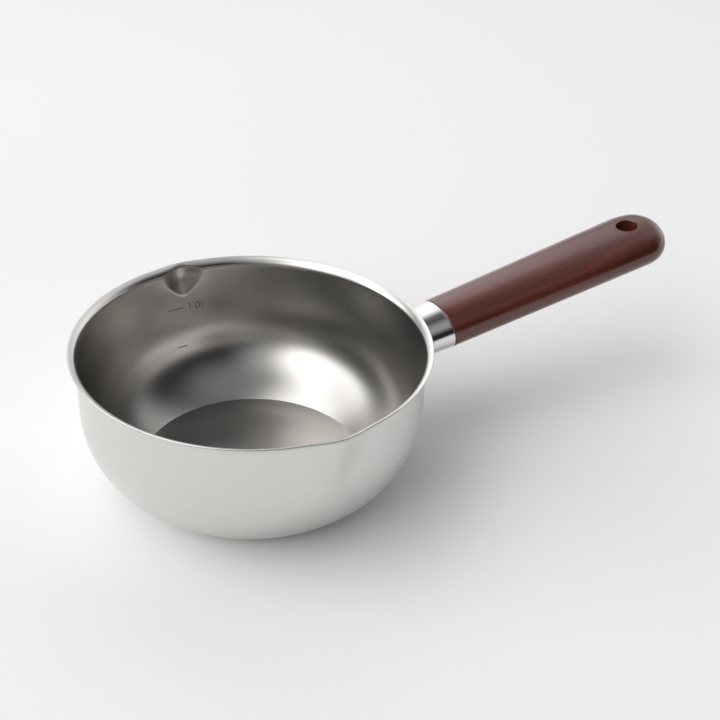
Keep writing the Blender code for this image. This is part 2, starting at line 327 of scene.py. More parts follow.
class Wire:
    """A socket in a material's node tree. Arithmetic on it adds Math nodes."""

    def __init__(self, tree, socket):
        self.tree = tree
        self.socket = socket

    def maths(self, operation, first, second=None):
        node = self.tree.nodes.new("ShaderNodeMath")
        node.operation = operation
        plug(self.tree, first, node.inputs[0])
        if second is not None:
            plug(self.tree, second, node.inputs[1])
        return Wire(self.tree, node.outputs[0])

    def __add__(self, other):
        return self.maths("ADD", self, other)

    __radd__ = __add__

    def __mul__(self, other):
        return self.maths("MULTIPLY", self, other)

    __rmul__ = __mul__

    def __sub__(self, other):
        return self.maths("SUBTRACT", self, other)

    def __rsub__(self, other):
        return self.maths("SUBTRACT", other, self)

    def __truediv__(self, other):
        return self.maths("DIVIDE", self, other)

    def __rtruediv__(self, other):
        return self.maths("DIVIDE", other, self)

    def __pow__(self, other):
        return self.maths("POWER", self, other)

    def __abs__(self):
        return self.maths("ABSOLUTE", self)

    def root(self):
        return self.maths("SQRT", self)


def plug(tree, value, socket):
    """Link a wire to a socket, or set the socket to a value."""
    if isinstance(value, Wire):
        tree.links.new(value.socket, socket)
    else:
        socket.default_value = value


class Finish:
    """A material, or the world, with its node tree."""

    def __init__(self, owner):
        owner.use_nodes = True
        self.owner = owner
        self.tree = owner.node_tree
        self.tree.nodes.clear()

    def node(self, kind, settings, values):
        """Add a node: its settings first, a ramp's stops among them, then its sockets."""
        node = self.tree.nodes.new(kind)
        for name, value in settings.items():
            if name == "stops":
                while len(node.color_ramp.elements) < len(value):
                    node.color_ramp.elements.new(0.5)
                for stop, (place, colour) in zip(node.color_ramp.elements, value):
                    stop.position = place
                    stop.color = colour
            else:
                setattr(node, name, value)
        for name, value in values.items():
            plug(self.tree, value, node.inputs[name])
        return node

    def out(self, node, name):
        """The wire of a node's output."""
        return Wire(self.tree, node.outputs[name])

    def place(self):
        """Object coordinates as three wires."""
        coordinates = self.node("ShaderNodeTexCoord", {}, {})
        parts = self.node("ShaderNodeSeparateXYZ", {}, {"Vector": self.out(coordinates, "Object")})
        return [self.out(parts, axis) for axis in "XYZ"]

    def vector(self, x, y, z):
        """Three values as a vector."""
        return self.out(self.node("ShaderNodeCombineXYZ", {}, {"X": x, "Y": y, "Z": z}), "Vector")

    def noise(self, vector, scale, detail, turn=None):
        """Noise between 0 and 1. A turn makes it four-dimensional."""
        settings = {"noise_dimensions": "3D" if turn is None else "4D"}
        values = {"Vector": vector, "Scale": scale, "Detail": detail}
        if turn is not None:
            values["W"] = turn
        return self.out(self.node("ShaderNodeTexNoise", settings, values), "Fac")

    def spread(self, value, low, high, to_low, to_high):
        """Map a value from one range to another and stop at its ends."""
        values = {"Value": value, "From Min": low, "From Max": high, "To Min": to_low, "To Max": to_high}
        return self.out(self.node("ShaderNodeMapRange", {"clamp": True}, values), "Result")

    def mix(self, share, first, second):
        """A colour between two colours."""
        node = self.node("ShaderNodeMix", {"data_type": "RGBA"}, {})
        plug(self.tree, share, node.inputs["Factor"])
        plug(self.tree, first, node.inputs[6])
        plug(self.tree, second, node.inputs[7])
        return Wire(self.tree, node.outputs[2])

    def bump(self, height, strength, distance):
        """A normal bent by a height."""
        values = {"Height": height, "Strength": strength, "Distance": distance}
        return self.out(self.node("ShaderNodeBump", {}, values), "Normal")

    def surface(self, values):
        """The Principled shader on the material's output."""
        shader = self.node("ShaderNodeBsdfPrincipled", {}, values)
        self.node("ShaderNodeOutputMaterial", {}, {"Surface": self.out(shader, "BSDF")})
        return self.owner


def rgba(colour, share=1.0):
    """A colour with its brightness changed and full alpha."""
    return (colour[0] * share, colour[1] * share, colour[2] * share, 1.0)


def turned_wires(finish):
    """Radius, height and the two circle coordinates of a point on a turned piece."""
    x, y, z = finish.place()
    radius = (x * x + y * y + 1e-8).root()
    return radius, z, x / radius, y / radius


def satin_steel(settings):
    """Spun steel: fine brush lines run round the bowl's axis, over faint wiping marks.

    The mesh's smooth attribute turns the soft satin of the outer side and the lip into the
    smoother finish of the inner side below the lip and of the rim's round edge. It also darkens
    their colour: painted shade inside the bowl, and a painted dark line along the rim's edge.
    """
    finish = Finish(bpy.data.materials.new("satin_steel"))
    radius, z, cosine, sine = turned_wires(finish)
    smooth = finish.out(finish.node("ShaderNodeAttribute", {"attribute_name": "smooth"}, {}), "Fac")
    along = finish.vector(radius * 1500.0, z * 1500.0, cosine * 9.0)
    brush = finish.noise(along, 1.0, 3.0, sine * 9.0)
    patches = finish.noise(finish.vector(radius * 28.0, z * 28.0, cosine * 2.0), 1.0, 2.0, sine * 2.0)
    rough = finish.spread(smooth, 0.0, 1.0, 0.34, 0.25)
    rough = rough + finish.spread(brush, 0.25, 0.75, -0.015, 0.015) * (1.0 - smooth * 0.7)
    rough = rough + finish.spread(patches, 0.3, 0.7, -0.02, 0.02)
    tone = finish.spread(brush, 0.3, 0.7, 0.0, 1.0)
    outer = finish.mix(tone, rgba(settings.steel, 0.97), rgba(settings.steel, 1.02))
    # Painted shade: the darker inner colour stands in for the shade inside the bowl, and paints a dark line
    # along the rim's round edge.
    inner = finish.mix(tone, rgba(settings.shaded_inner_steel, 0.99), rgba(settings.shaded_inner_steel, 1.01))
    return finish.surface({
        "Base Color": finish.mix(smooth, outer, inner),
        "Metallic": 1.0,
        "Roughness": rough,
        "Normal": finish.bump(brush, finish.spread(smooth, 0.0, 1.0, 0.04, 0.0), 0.00002),
    })


def polished_steel(settings):
    """Polished steel with hair lines along the handle."""
    finish = Finish(bpy.data.materials.new("polished_steel"))
    x, y, z = finish.place()
    lines = finish.noise(finish.vector(x * 40.0, y * 2200.0, z * 2200.0), 1.0, 2.0)
    cloud = finish.noise(finish.vector(x, y, z), 120.0, 2.0)
    rough = finish.spread(lines, 0.3, 0.7, -0.03, 0.03) + finish.spread(cloud, 0.3, 0.7, 0.12, 0.15)
    return finish.surface({
        "Base Color": rgba(settings.polished),
        "Metallic": 1.0,
        "Roughness": rough,
        "Normal": finish.bump(lines, 0.06, 0.00001),
    })


def lacquered_wood(settings):
    """Dark reddish wood under satin lacquer, its grain along the handle."""
    finish = Finish(bpy.data.materials.new("lacquered_wood"))
    coordinates = finish.node("ShaderNodeTexCoord", {}, {})
    mapping = finish.node("ShaderNodeMapping", {}, {
        "Vector": finish.out(coordinates, "Object"),
        "Rotation": (0.0, settings.tilt, 0.0),
    })
    parts = finish.node("ShaderNodeSeparateXYZ", {}, {"Vector": finish.out(mapping, "Vector")})
    x, y, z = [finish.out(parts, axis) for axis in "XYZ"]
    wander = finish.noise(finish.vector(x * 9.0, y * 30.0, z * 30.0), 1.0, 2.0)
    bands = finish.noise(finish.vector(x * 6.0, y * 170.0 + wander * 3.0, z * 170.0), 1.0, 3.0)
    pores = finish.noise(finish.vector(x * 90.0, y * 2400.0, z * 2400.0), 1.0, 2.0)
    pore = finish.spread(pores, 0.62, 0.74, 0.0, 1.0)
    band = finish.spread(bands, 0.3, 0.7, 0.0, 1.0)
    colour = finish.mix(band, rgba(settings.wood, 0.62), rgba(settings.wood, 1.35))
    colour = finish.mix(pore * 0.5, colour, rgba(settings.wood, 0.35))
    rough = finish.spread(wander, 0.3, 0.7, 0.17, 0.22) + pore * 0.12
    return finish.surface({
        "Base Color": colour,
        "Roughness": rough,
        "IOR": 1.56,
        "Specular IOR Level": 0.62,
        "Normal": finish.bump(pores, 0.06, 0.00003),
    })


def zinc_steel(settings):
    """Plain bright steel of the screw and the bracket."""
    finish = Finish(bpy.data.materials.new("fixing_steel"))
    x, y, z = finish.place()
    cloud = finish.noise(finish.vector(x, y, z), 700.0, 3.0)
    rough = finish.spread(cloud, 0.3, 0.7, 0.26, 0.38)
    return finish.surface({
        "Base Color": rgba(settings.steel, 0.9),
        "Metallic": 1.0,
        "Roughness": rough,
        "Normal": finish.bump(cloud, 0.08, 0.00003),
    })


def etched_mark(settings):
    """The dull dark finish of the etched capacity marks."""
    finish = Finish(bpy.data.materials.new("etched_mark"))
    x, y, z = finish.place()
    grain = finish.noise(finish.vector(x, y, z), 3500.0, 2.0)
    colour = finish.mix(grain, rgba(settings.mark, 0.8), rgba(settings.mark, 1.3))
    return finish.surface({"Base Color": colour, "Metallic": 0.6, "Roughness": 0.55})


def seen(finish, share):
    """One for a ray from the camera, and the given share for one by way of metal or glass."""
    path = finish.node("ShaderNodeLightPath", {}, {})
    direct = finish.out(path, "Is Camera Ray")
    mirrored = (finish.out(path, "Is Glossy Ray") + finish.out(path, "Is Transmission Ray")) * share
    return direct.maths("MINIMUM", direct + mirrored, 1.0)


def floor_finish(settings):
    """Even pale floor with a barely uneven tone, which turns into the backdrop far out."""
    finish = Finish(bpy.data.materials.new("pale_floor"))
    x, y, z = finish.place()
    cloud = finish.noise(finish.vector(x, y, z), 3.0, 2.0)
    colour = finish.mix(cloud, rgba(settings.floor, 0.995), rgba(settings.floor, 1.005))
    near = finish.node("ShaderNodeBsdfPrincipled", {}, {
        "Base Color": colour,
        "Roughness": 0.9,
        "Specular IOR Level": 0.1,
    })
    far = finish.node("ShaderNodeEmission", {}, {"Color": rgba(settings.backdrop)})
    outside = finish.spread((x * x + y * y).root(), BACKDROP_START, BACKDROP_END, 0.0, 1.0)
    mixed = finish.node("ShaderNodeMixShader", {}, {0: outside * seen(finish, 1.0)})
    plug(finish.tree, finish.out(near, "BSDF"), mixed.inputs[1])
    plug(finish.tree, finish.out(far, "Emission"), mixed.inputs[2])
    finish.node("ShaderNodeOutputMaterial", {}, {"Surface": finish.out(mixed, "Shader")})
    return finish.owner


def room_finish(settings, world):
    """Dim even light and a pale backdrop, which metal and glass show near the horizon."""
    finish = Finish(world)
    direction = finish.out(finish.node("ShaderNodeTexCoord", {}, {}), "Generated")
    parts = finish.node("ShaderNodeSeparateXYZ", {}, {"Vector": direction})
    low = finish.spread(finish.out(parts, "Z"), BACKDROP_LOW, BACKDROP_HIGH, 1.0, 0.0)
    room = rgba((settings.room, settings.room, settings.room))
    colour = finish.mix(seen(finish, low), room, rgba(settings.backdrop))
    shade = finish.node("ShaderNodeBackground", {}, {"Color": colour})
    finish.node("ShaderNodeOutputWorld", {}, {"Surface": finish.out(shade, "Background")})


def new_mesh(name, points, faces):
    """A smooth mesh from an array of points and arrays of faces with three or four corners."""
    corners = np.concatenate([face.ravel() for face in faces])
    counts = np.concatenate([np.full(len(face), face.shape[1]) for face in faces])
    mesh = bpy.data.meshes.new(name)
    mesh.vertices.add(len(points))
    mesh.vertices.foreach_set("co", points.astype(np.float32).ravel())
    mesh.loops.add(len(corners))
    mesh.loops.foreach_set("vertex_index", corners.astype(np.int32))
    mesh.polygons.add(len(counts))
    mesh.polygons.foreach_set("loop_start", (np.cumsum(counts) - counts).astype(np.int32))
    mesh.update(calc_edges=True)
    mesh.validate()
    mesh.shade_smooth()
    return mesh


def ring_faces(rows, columns, closed):
    """Faces between the rings of a grid. The last ring joins the first if the grid is closed."""
    row = np.arange(rows if closed else rows - 1)[:, None]
    column = np.arange(columns)[None, :]
    after = (column + 1) % columns
    below = (row + 1) % rows
    upper, lower = row * columns, below * columns
    corners = [upper + column, upper + after, lower + after, lower + column]
    return np.stack(np.broadcast_arrays(*corners), axis=-1).reshape(-1, 4)


def fan_faces(first, columns, pole, flip):
    """Triangles from a ring to its pole."""
    column = np.arange(columns)
    after = (column + 1) % columns
    corners = [first + column, first + after, np.full(columns, pole)]
    if flip:
        corners.reverse()
    return np.stack(corners, axis=-1)


def arc(before, corner, after, radius, count):
    """Points of the arc that rounds a corner between two straight runs.

    The arc's centre lies on the corner's bisector, at the radius over the sine of half the
    angle, and the points are its two ends weighted by the sines of the angles still to turn.
    """
    before, corner, after = (np.array(point, float) for point in (before, corner, after))
    back = (before - corner) / np.linalg.norm(before - corner)
    ahead = (after - corner) / np.linalg.norm(after - corner)
    half = math.acos(np.clip(back @ ahead, -1, 1)) / 2
    bisector = (back + ahead) / np.linalg.norm(back + ahead)
    centre = corner + bisector * radius / math.sin(half)
    start = corner + back * radius / math.tan(half) - centre
    end = corner + ahead * radius / math.tan(half) - centre
    turn = math.pi - 2 * half
    swept = np.linspace(0, turn, count)[:, None]
    return centre + (start * np.sin(turn - swept) + end * np.sin(swept)) / math.sin(turn)


def line(start, end, count):
    """Evenly spaced points between two points, without the last."""
    share = np.arange(count)[:, None] / count
    return np.array(start, float) * (1 - share) + np.array(end, float) * share


class BowlShape:
    """The bowl's outlines, worked out from its settings."""

    def __init__(self, settings):
        self.settings = settings
        self.mouth = settings.rim_radius - settings.lip_width
        self.edge_height = settings.height - settings.sheet * math.cos(settings.lip_angle)
        self.root_height = self.edge_height - settings.lip_width * math.tan(settings.lip_angle)
        self.foot_low = settings.height - SPOUT_HEIGHT
        self.round_height = self.foot_low - WALL_BELOW_SPOUT

    def lower_wall(self, count):
        """The rounded lower wall from its top to the base's corner.

        Radius: base plus the share sin(t)^1.96 of the way to the wall. Height: the rounding's
        height times 1 - cos(t)^0.74, with t from a quarter turn to a ninth of it.
        """
        turn = math.pi / 2 * (1 - np.linspace(0, 1, count) ** 1.5 * 8 / 9)
        base = self.settings.base_radius
        radius = base + (self.mouth - base) * np.sin(turn) ** ROUND_OUT_POWER
        height = self.round_height * (1 - np.abs(np.cos(turn)) ** ROUND_UP_POWER)
        return np.stack([radius, height], axis=1)

    def outline(self):
        """Radius and height of the outer side, from the lip's edge to near the base's middle."""
        edge = (self.settings.rim_radius, self.edge_height)
        root = (self.mouth, self.root_height)
        foot = (self.mouth, self.foot_low)
        bend = arc(edge, root, foot, LIP_BEND, 10)
        set_back = np.array(edge) + (np.array(root) - np.array(edge)) * RIM_ROUND / math.dist(edge, root)
        lower = self.lower_wall(42)
        corner = arc(lower[-1], (self.settings.base_radius, 0), (0, 0), BASE_BEND, 7)
        return np.concatenate([
            line(set_back, bend[0], 5),
            bend[:-1],
            line(bend[-1], foot, 40),
            line(foot, lower[0], 12),
            lower,
            corner[:-1],
            line(corner[-1], (0, 0), 16),
        ])

    def inner_outline(self):
        """The inner side: the outer outline moved in by the sheet."""
        outline = self.outline()
        step = np.gradient(outline, axis=0)
        step = step / np.linalg.norm(step, axis=1, keepdims=True)
        return outline + np.stack([step[:, 1], -step[:, 0]], axis=1) * self.settings.sheet

    def wall_radius(self, height):
        """The outer wall's radius at some heights below the lip's bend."""
        lower = self.lower_wall(200)[::-1]
        radius = np.interp(height, lower[:, 1], lower[:, 0])
        return np.where(height > self.round_height, self.mouth, radius)

    def inner_radius(self, height):
        """The inner wall's radius at some heights."""
        inner = self.inner_outline()
        return np.interp(height, inner[::-1, 1], inner[::-1, 0])

    def press_spouts(self, points, wall, foot_drop, power, valley_round, blends):
        """Press both spouts into a turned grid.

        Each point moves out to the larger, smoothly blended, of its own distance from the
        handle's plane, pulled out a little near the lip, and a V-shaped channel. The channel's
        valley deepens from below the wall's surface by 1 - (1 - t)^power, with t from foot to
        lip, and its sides fall away in proportion to the distance from the spout's middle.
        """
        x, y, z = points[..., 0], points[..., 1], points[..., 2]
        half = self.settings.spout_half_width
        foot = self.foot_low - foot_drop
        fall = SPOUT_TOP_DEPTH + wall - math.sqrt(wall ** 2 - half ** 2)
        slope_share = fall / (math.hypot(half, valley_round) - valley_round)
        rise = np.clip((z - self.foot_low) / (self.edge_height - self.foot_low), 0, None)
        pull = np.cos(np.clip(np.abs(x) / SPOUT_PULL_WIDTH, 0, 1) * math.pi / 2) ** 2 * rise ** 2
        outward = np.abs(y) + self.settings.spout_reach * pull
        share = np.clip((z - foot) / (self.root_height - foot), 0, 1)
        depth = (SPOUT_TOP_DEPTH + blends[0]) * (1 - (1 - share) ** power) - blends[0]
        channel = wall + depth - slope_share * (np.hypot(x, valley_round) - valley_round)
        blend = blends[1] + (blends[0] - blends[1]) * np.exp(-(x / SPOUT_MIDDLE_BLEND_WIDTH) ** 2)
        close = np.clip(blend - np.abs(outward - channel), 0, None) / blend
        outward = np.maximum(outward, channel) + close ** 2 * blend / 4
        pressed = np.stack([x, np.copysign(outward, y), z - SPOUT_DIP * pull], axis=-1)
        near = (z > foot) & (np.abs(x) < SPOUT_PULL_WIDTH)
        return np.where(near[..., None], pressed, points)

    def turned_grid(self, outline):
        """An outline turned to rings of points, which lie closer together at the spouts."""
        angle = 2 * math.pi * np.arange(BOWL_STEPS) / BOWL_STEPS
        angle = angle + BOWL_CROWDING_SHARE / 2 * np.sin(2 * angle)
        radius, height = outline[:, :1], outline[:, 1:]
        return np.stack(np.broadcast_arrays(radius * np.cos(angle), radius * np.sin(angle), height), axis=-1)


def add_piece(name, mesh, material, node=None):
    """Link a piece that rides on the pan, and let it stand for its CAD node."""
    piece = bpy.data.objects.new(name, mesh)
    bpy.context.scene.collection.objects.link(piece)
    mesh.materials.clear()
    mesh.materials.append(material)
    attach(piece, "root")
    if node:
        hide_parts(node)
    return piece


def bowl_mesh(shape):
    """The bowl as one closed sheet.

    The outer and the inner outline are turned and pressed on their own, because the scoop
    inside a spout is crisper than the ridge outside it. A half ellipse rounds the lip's edge
    between them.
    """
    sheet = shape.settings.sheet
    outer = shape.press_spouts(shape.turned_grid(shape.outline()), shape.mouth, **RIDGE)
    inner = shape.press_spouts(shape.turned_grid(shape.inner_outline()), shape.mouth - sheet, **SCOOP)
    off_edge = outer[0] - outer[1]
    off_edge = off_edge / np.linalg.norm(off_edge, axis=1, keepdims=True)
    turn = (math.pi * np.arange(1, 8) / 8)[:, None, None]
    middle = (outer[0] + inner[0]) / 2
    rim = middle + (outer[0] - inner[0]) / 2 * np.cos(turn) + off_edge * RIM_ROUND * np.sin(turn)
    rings = np.concatenate([outer[::-1], rim, inner])
    rows, columns = rings.shape[:2]
    poles = np.array([[0.0, 0.0, 0.0], [0.0, 0.0, sheet]])
    points = np.concatenate([rings.reshape(-1, 3), poles])
    faces = [
        ring_faces(rows, columns, False),
        fan_faces(0, columns, rows * columns, True),
        fan_faces((rows - 1) * columns, columns, rows * columns + 1, False),
    ]
    mesh = new_mesh("bowl", points, faces)
    # The smooth attribute also sets the darker inner colour: painted shade on the inner side below the lip,
    # and a painted dark line along the middle of the rim's round edge.
    below_lip = np.clip((shape.root_height - inner[..., 2] + 0.0011) / 0.0012, 0, 1)
    on_edge = np.broadcast_to(np.sin(turn[..., 0]) ** 2, rim.shape[:2])
    smooth = np.concatenate([np.zeros(len(outer) * columns), on_edge.ravel(), below_lip.ravel(), [0.0, 1.0]])
    mesh.attributes.new("smooth", "FLOAT", "POINT").data.foreach_set("value", smooth.astype(np.float32))
    return mesh


class HandleShape:
    """The handle's outlines, worked out along its own axis from the grip's shoulder."""

    def __init__(self, settings, bowl):
        self.settings = settings
        self.bowl = bowl
        tilt = settings.tilt
        self.shoulder = np.array([
            bowl.mouth + FERRULE_LENGTH * math.cos(tilt),
            0.0,
            bowl.settings.height - ROOT_DROP + FERRULE_LENGTH * math.sin(tilt),
        ])
        self.along = np.array([math.cos(tilt), 0.0, math.sin(tilt)])
        self.under = np.array([math.sin(tilt), 0.0, -math.cos(tilt)])
        self.half_start = settings.start_width / 2
        self.half_end = settings.end_width / 2
        self.flat_share = settings.start_thickness / settings.start_width

    def to_world(self, under, side, along):
        """Points given towards the underside, sideways and along the handle, as x, y and z."""
        under, side, along = np.broadcast_arrays(under, side, along)
        lengthwise = self.shoulder + along[..., None] * self.along
        return lengthwise + under[..., None] * self.under + side[..., None] * np.array([0.0, 1.0, 0.0])

    def ferrule_half(self, place):
        """The ferrule's outer half width at some places: a straight taper."""
        return self.half_start + (self.half_start - FERRULE_ROOT_WIDTH / 2) * place / FERRULE_LENGTH

    def bore_half(self, place, gap):
        """The half width of what fits the ferrule's bore with a gap."""
        return self.ferrule_half(place) - (FERRULE_SHEET + gap) / self.flat_share

    def wall_place(self, half_width, angle, gap):
        """Where lines along a tapering oval meet the bowl's wall, by halving the interval."""
        low = np.full(angle.shape, -FERRULE_LENGTH - 0.02)
        high = np.full(angle.shape, -FERRULE_LENGTH / 2)
        for _ in range(40):
            middle = (low + high) / 2
            width = half_width(middle)
            point = self.to_world(width * self.flat_share * np.cos(angle), width * np.sin(angle), middle)
            outside = np.hypot(point[..., 0], point[..., 1]) > self.bowl.wall_radius(point[..., 2]) + gap
            high = np.where(outside, middle, high)
            low = np.where(outside, low, middle)
        return high

    def oval(self, half_width, angle, place):
        """Points of the ferrule's oval sections."""
        return self.to_world(half_width * self.flat_share * np.cos(angle), half_width * np.sin(angle), place)

    def grip_flatness(self, place):
        """Thickness over width along the grip: constant in the ferrule, then two ellipses at the tip."""
        s = self.settings
        into_width = np.clip((place - (s.length - self.half_end)) / self.half_end, 0, 0.9999)
        into_depth = np.clip((place - (s.length - TIP_ROUND)) / TIP_ROUND, 0, 1)
        share = place / s.length
        thickness = s.start_thickness + (s.end_thickness - s.start_thickness) * share
        half = np.minimum(self.grip_half(place), self.half_end) * np.sqrt(1 - into_width ** 2)
        flat = thickness / 2 * np.sqrt(1 - into_depth ** 2) / half
        return np.where(place <= 0, self.flat_share, flat)

    def grip_half(self, place):
        """The grip's half width before its round end."""
        share = place / (self.settings.length - self.half_end)
        return self.half_start + (self.half_end - self.half_start) * share


def ferrule_mesh(shape):
    """The oval sleeve as a closed tube.

    Each line along the oval runs from the round edge at the grip to where it meets the bowl's
    wall, outside and inside.
    """
    angle = 2 * math.pi * np.arange(GRIP_STEPS) / GRIP_STEPS
    top = -SEAT_GAP
    edge = FERRULE_EDGE_ROUND
    outer_end = shape.wall_place(shape.ferrule_half, angle, SEAT_GAP)
    inner_end = shape.wall_place(lambda place: shape.bore_half(place, 0.0), angle, SEAT_GAP)
    share = np.linspace(0, 1, 24)[:, None]
    outer_place = (top - edge) * (1 - share) + outer_end * share
    inner_place = inner_end * (1 - share) + (top - edge) * share
    outer = shape.oval(shape.ferrule_half(outer_place), angle, outer_place)
    inner = shape.oval(shape.bore_half(inner_place, 0.0), angle, inner_place)
    turn = (math.pi / 2 * np.arange(1, 5) / 4)[:, None]
    inset = edge / shape.flat_share
    rim_in = shape.oval(
        shape.bore_half(top, 0.0) + inset * (1 - np.cos(turn)), angle, top - edge + edge * np.sin(turn)
    )
    rim_out = shape.oval(
        shape.ferrule_half(top) - inset * (1 - np.sin(turn)), angle, top - edge + edge * np.cos(turn)
    )
    rings = np.concatenate([outer, inner, rim_in, rim_out[:-1]])
    rows, columns = rings.shape[:2]
    mesh = new_mesh("ferrule", rings.reshape(-1, 3), [ring_faces(rows, columns, True)[:, ::-1]])
    mesh.set_sharp_from_angle(angle=math.radians(40))
    return mesh


def grip_mesh(shape):
    """The grip and its tang as a closed solid.

    Its outline from above, a half circle at the tip and a straight taper to the shoulder, is
    turned about the axis and squeezed to an oval section.
    """
    length, half_end = shape.settings.length, shape.half_end
    turn = math.pi / 2 * np.arange(1, 40) / 40
    tip = np.stack([half_end * np.sin(turn), length - half_end + half_end * np.cos(turn)], axis=1)
    place = line((length - half_end,), (0.0,), 40)[:, 0]
    side = np.stack([shape.grip_half(place), place], axis=1)
    bore = float(shape.bore_half(0.0, SEAT_GAP))
    shoulder = arc(side[-1], (shape.half_start, 0.0), (bore, 0.0), SHOULDER_ROUND, 6)
    tang = np.array([[bore, 0.0], [float(shape.bore_half(-TANG_LENGTH, SEAT_GAP)), -TANG_LENGTH]])
    outline = np.concatenate([tip, side, shoulder, tang])
    half, place = outline[:, :1], outline[:, 1:]
    angle = 2 * math.pi * np.arange(GRIP_STEPS) / GRIP_STEPS
    points = shape.to_world(half * shape.grip_flatness(place) * np.cos(angle), half * np.sin(angle), place)
    rows, columns = points.shape[:2]
    poles = shape.to_world(np.zeros(2), np.zeros(2), np.array([length, -TANG_LENGTH]))
    faces = [
        ring_faces(rows, columns, False),
        fan_faces(0, columns, rows * columns, True),
        fan_faces((rows - 1) * columns, columns, rows * columns + 1, False),
    ]
    return new_mesh("grip", np.concatenate([points.reshape(-1, 3), poles]), faces)


def hole_mesh(shape):
    """The hanging hole's solid: a straight bore that flares in a quarter circle at both faces."""
    middle = shape.settings.end_thickness / 2
    radius = shape.settings.hole_radius
    flared = radius + HOLE_EDGE_ROUND
    edge = arc((flared, middle), (radius, middle), (radius, 0), HOLE_EDGE_ROUND, 10)
    clear = middle + HOLE_CUT_EXCESS
    outline = np.concatenate([[[flared, clear]], edge, edge[::-1] * [1, -1], [[flared, -clear]]])
    angle = 2 * math.pi * np.arange(96) / 96
    place = shape.settings.length - HOLE_FROM_TIP
    reach, under = outline[:, :1], outline[:, 1:]
    points = shape.to_world(under, reach * np.sin(angle), place + reach * np.cos(angle))
    rows, columns = points.shape[:2]
    poles = shape.to_world(np.array([clear, -clear]), np.zeros(2), np.full(2, place))
    faces = [
        ring_faces(rows, columns, False),
        fan_faces(0, columns, rows * columns, True),
        fan_faces((rows - 1) * columns, columns, rows * columns + 1, False),
    ]
    return new_mesh("hole", np.concatenate([points.reshape(-1, 3), poles]), faces)


def cut(mesh, cutter):
    """The mesh less the cutter, both closed solids."""
    item = bpy.data.objects.new("cut", mesh)
    tool = bpy.data.objects.new("tool", cutter)
    for helper in (item, tool):
        bpy.context.scene.collection.objects.link(helper)
    boolean = item.modifiers.new("cut", "BOOLEAN")
    boolean.operation = "DIFFERENCE"
    boolean.solver = "EXACT"
    boolean.object = tool
    result = bpy.data.meshes.new_from_object(item.evaluated_get(bpy.context.evaluated_depsgraph_get()))
    for helper in (item, tool):
        bpy.data.objects.remove(helper, do_unlink=True)
    return result


def mark_mesh(shape, strokes, width, proud):
    """Etched strokes on the inner wall.

    A stroke is a list of points in degrees round the bowl and metres up. A flat ribbon of the
    given width runs along it, wrapped on the wall, a little proud of it.
    """
    points, faces, start = [], [], 0
    for stroke in strokes:
        path = np.array(stroke, float)
        path[:, 0] = np.radians(path[:, 0])
        closed = np.allclose(path[0], path[-1])
        radius = shape.inner_radius(path[:, 1])
        flat = np.stack([path[:, 0] * radius, path[:, 1]], axis=1)
        step = np.gradient(flat, axis=0)
        if closed:
            step[0] = step[-1] = flat[1] - flat[-2]
        step = step / np.linalg.norm(step, axis=1, keepdims=True)
        side = np.stack([-step[:, 1], step[:, 0]], axis=1) * width / 2
        corners = []
        for across, lift in ((1, proud), (-1, proud), (-1, -proud), (1, -proud)):
            spot = flat + side * across
            reach = shape.inner_radius(spot[:, 1]) - lift
            turn = spot[:, 0] / radius
            corners.append(np.stack([reach * np.cos(turn), reach * np.sin(turn), spot[:, 1]], axis=1))
        grid = np.stack(corners, axis=1)
        points.append(grid.reshape(-1, 3))
        faces.append(ring_faces(len(path), 4, False) + start)
        ends = np.array([[3, 2, 1, 0], [0, 1, 2, 3]]) + np.array([[0], [(len(path) - 1) * 4]])
        faces.append(ends + start)
        start += len(path) * 4
    mesh = new_mesh("capacity_marks", np.concatenate(points), faces)
    mesh.set_sharp_from_angle(angle=math.radians(30))
    return mesh


def oval_stroke(azimuth, height, half_turn, half_height):
    """A closed oval stroke in degrees round the bowl and metres up."""
    turn = np.linspace(0, 2 * math.pi, 25)
    return np.stack([azimuth + half_turn * np.sin(turn), height + half_height * np.cos(turn)], axis=1)


class SAUCEPAN_OT_bowl(Operator):
    """Make the satin steel bowl with its lip and two spouts"""

    bl_idname = "saucepan.bowl"
    bl_label = "Bowl"

    def execute(self, context):
        settings = context.scene.saucepan_bowl
        mesh = bowl_mesh(BowlShape(settings))
        add_piece("bowl", mesh, satin_steel(settings), "pan_body")
        return {"FINISHED"}


class SAUCEPAN_OT_marks(Operator):
    """Make the capacity marks on the inner wall"""

    bl_idname = "saucepan.marks"
    bl_label = "Capacity marks"

    def execute(self, context):
        settings = context.scene.saucepan_bowl
        low, high = FIGURE_LOW, FIGURE_HIGH
        middle = (low + high) / 2
        # Degrees round the bowl from the handle, and metres up: two dashes, then 1, point, 0 and L
        strokes = [
            np.stack([np.linspace(96.8, 90.4, 9), np.full(9, FULL_DASH_HEIGHT)], axis=1),
            np.stack([np.linspace(94.1, 90.1, 7), np.full(7, HALF_DASH_HEIGHT)], axis=1),
            [(88.35, high - 0.0011), (87.72, high), (87.72, middle), (87.72, low)],
            [(86.42, low + 0.0002), (86.15, low + 0.0002)],
            oval_stroke(84.8, middle, 0.74, (high - low) / 2),
            [(83.25, high), (83.25, middle), (83.25, low), (82.05, low)],
        ]
        mesh = mark_mesh(BowlShape(settings), strokes, MARK_WIDTH, MARK_PROUD)
        add_piece("capacity_marks", mesh, etched_mark(settings))
        return {"FINISHED"}


class SAUCEPAN_OT_ferrule(Operator):
    """Make the polished ferrule between the bowl and the grip"""

    bl_idname = "saucepan.ferrule"
    bl_label = "Ferrule"

    def execute(self, context):
        settings = context.scene.saucepan_handle
        shape = HandleShape(settings, BowlShape(context.scene.saucepan_bowl))
        material = polished_steel(settings)
        add_piece("ferrule", ferrule_mesh(shape), material, "handle_ferrule")
        return {"FINISHED"}


